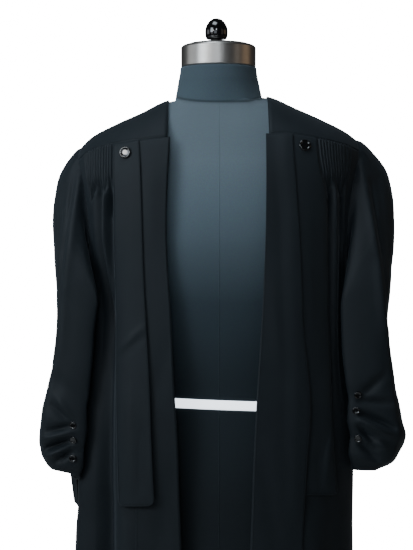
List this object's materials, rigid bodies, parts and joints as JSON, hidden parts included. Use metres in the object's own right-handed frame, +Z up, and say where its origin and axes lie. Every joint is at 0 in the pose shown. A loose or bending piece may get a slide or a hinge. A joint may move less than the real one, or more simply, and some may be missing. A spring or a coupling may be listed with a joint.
{
  "type": "advocate gown on a dress form",
  "caption": "Open-fronted black gown with a yoke, hanging flaps and full sleeves buttoned up at the elbow, worn on a limbless dress form on a round stand",
  "frame": {"origin": "middle of the round base's underside, which rests on the floor", "axes": "+Z up, the gown opens towards -Y, +X is to the right of a viewer in front"},
  "size_m": [0.5528, 0.38, 1.6],
  "materials": {
    "suiting": "matte black suiting with a faint soft sheen",
    "button": "glossy black resin",
    "jersey": "charcoal knitted jersey",
    "tape": "white woven tape",
    "ring": "brushed bright steel",
    "knob": "glossy black lacquer",
    "stand": "satin black paint"
  },
  "bodies": {
    "root": {"yoke": "suiting", "front_left": "suiting", "front_right": "suiting", "front_band_left": "suiting", "front_band_right": "suiting", "flap_left": "suiting", "flap_right": "suiting", "back": "suiting", "sleeve_left": "suiting", "sleeve_right": "suiting", "flap_button_left": "button", "flap_button_right": "button", "sleeve_button_left_1": "button", "sleeve_button_left_2": "button", "sleeve_button_left_3": "button", "sleeve_button_right_1": "button", "sleeve_button_right_2": "button", "sleeve_button_right_3": "button", "form_torso": "jersey", "waist_tape": "tape", "neck_ring": "ring", "knob": "knob", "pole": "stand", "base": "stand"}
  },
  "joints": []
}
